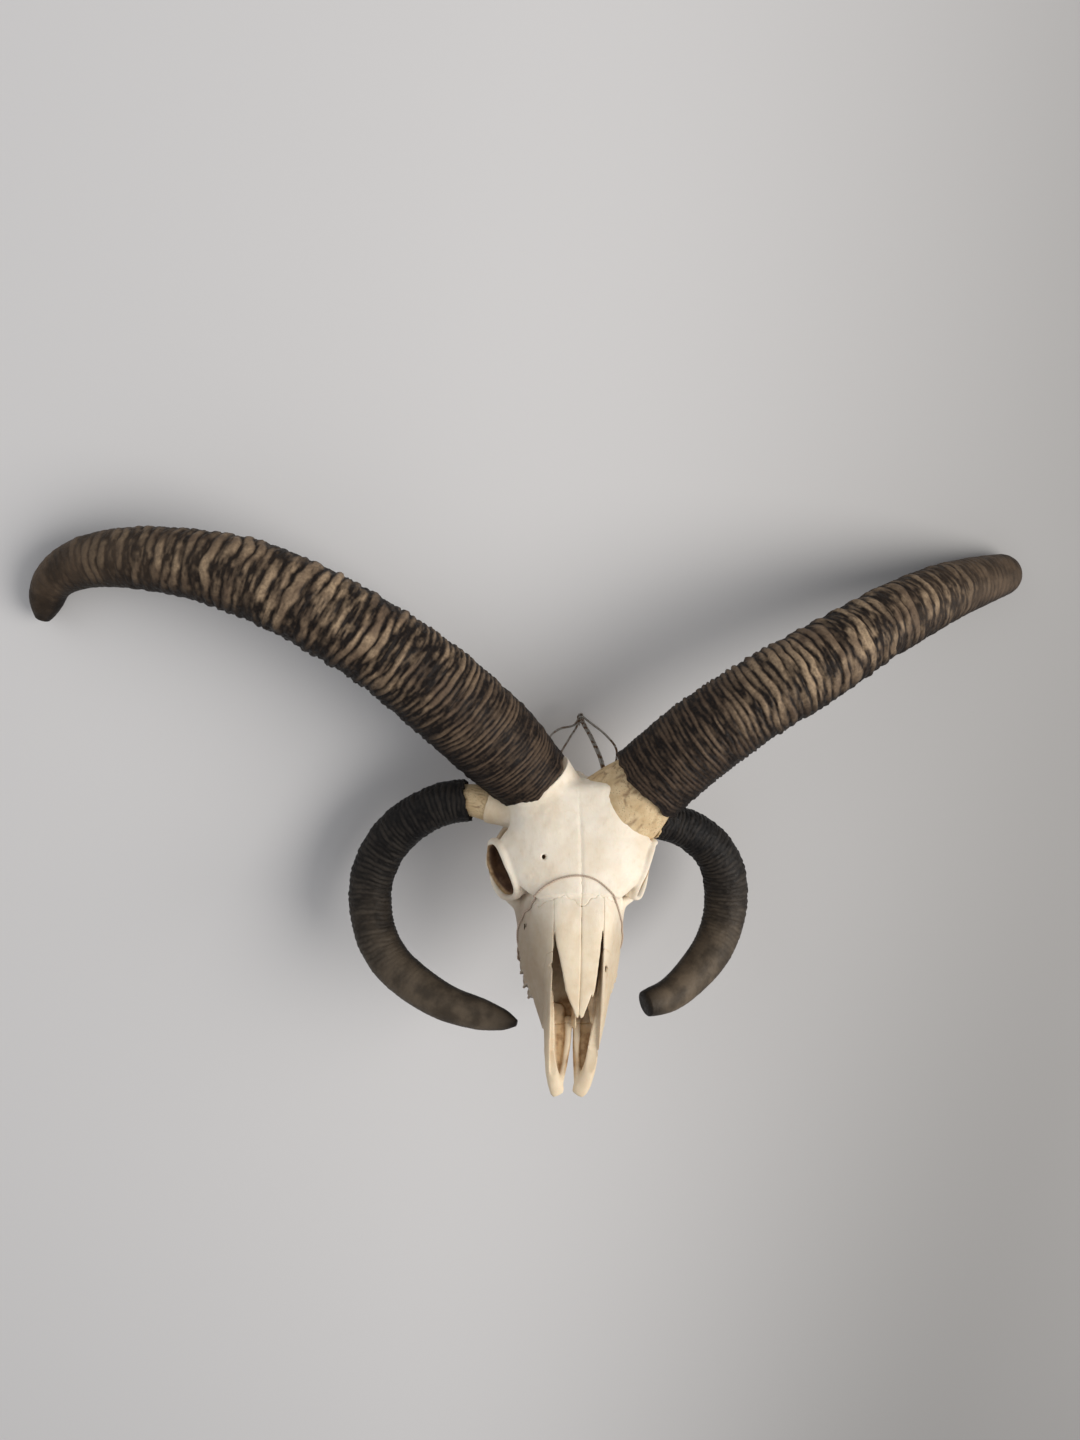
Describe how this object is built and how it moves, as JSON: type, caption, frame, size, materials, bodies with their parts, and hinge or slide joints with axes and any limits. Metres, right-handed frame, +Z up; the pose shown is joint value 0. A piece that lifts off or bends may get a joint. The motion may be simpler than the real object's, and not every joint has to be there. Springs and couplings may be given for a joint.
{
  "type": "four-horned ram skull",
  "caption": "Dry skull of a four-horned ram without its lower jaw, with horn sheaths, a wire hanger and a thin string round the muzzle.",
  "frame": {"origin": "centre of the bounding box at the floor that the skull lies on", "axes": "+Z up; -Y the way the nose points, tipped up; +X to the animal's left, along the spread of the upper horns"},
  "size_m": [0.7718, 0.3912, 0.1874],
  "materials": {
    "bone": "dry matte bone, ivory on the forehead and yellower on the snout",
    "horn_core": "porous tan bone",
    "upper_horn": "dark brown ringed horn with golden wear on the rings",
    "lower_horn": "near-black ringed horn, smoother and grey-tan towards the tip",
    "wire": "dull galvanised wire",
    "string": "thin pinkish-brown twisted string"
  },
  "bodies": {
    "root": {"nasal_left": "bone", "nasal_right": "bone", "frontal_left": "bone", "frontal_right": "bone", "premaxilla_left": "bone", "premaxilla_right": "bone", "maxilla_left": "bone", "maxilla_right": "bone", "zygomatic_left": "bone", "zygomatic_right": "bone", "braincase": "bone", "horn_core_upper_left": "horn_core", "horn_core_upper_right": "horn_core", "horn_core_lower_left": "horn_core", "horn_core_lower_right": "horn_core", "horn_upper_left": "upper_horn", "horn_upper_right": "upper_horn", "horn_lower_left": "lower_horn", "horn_lower_right": "lower_horn", "hanging_wire": "wire", "muzzle_string": "string"}
  },
  "joints": []
}
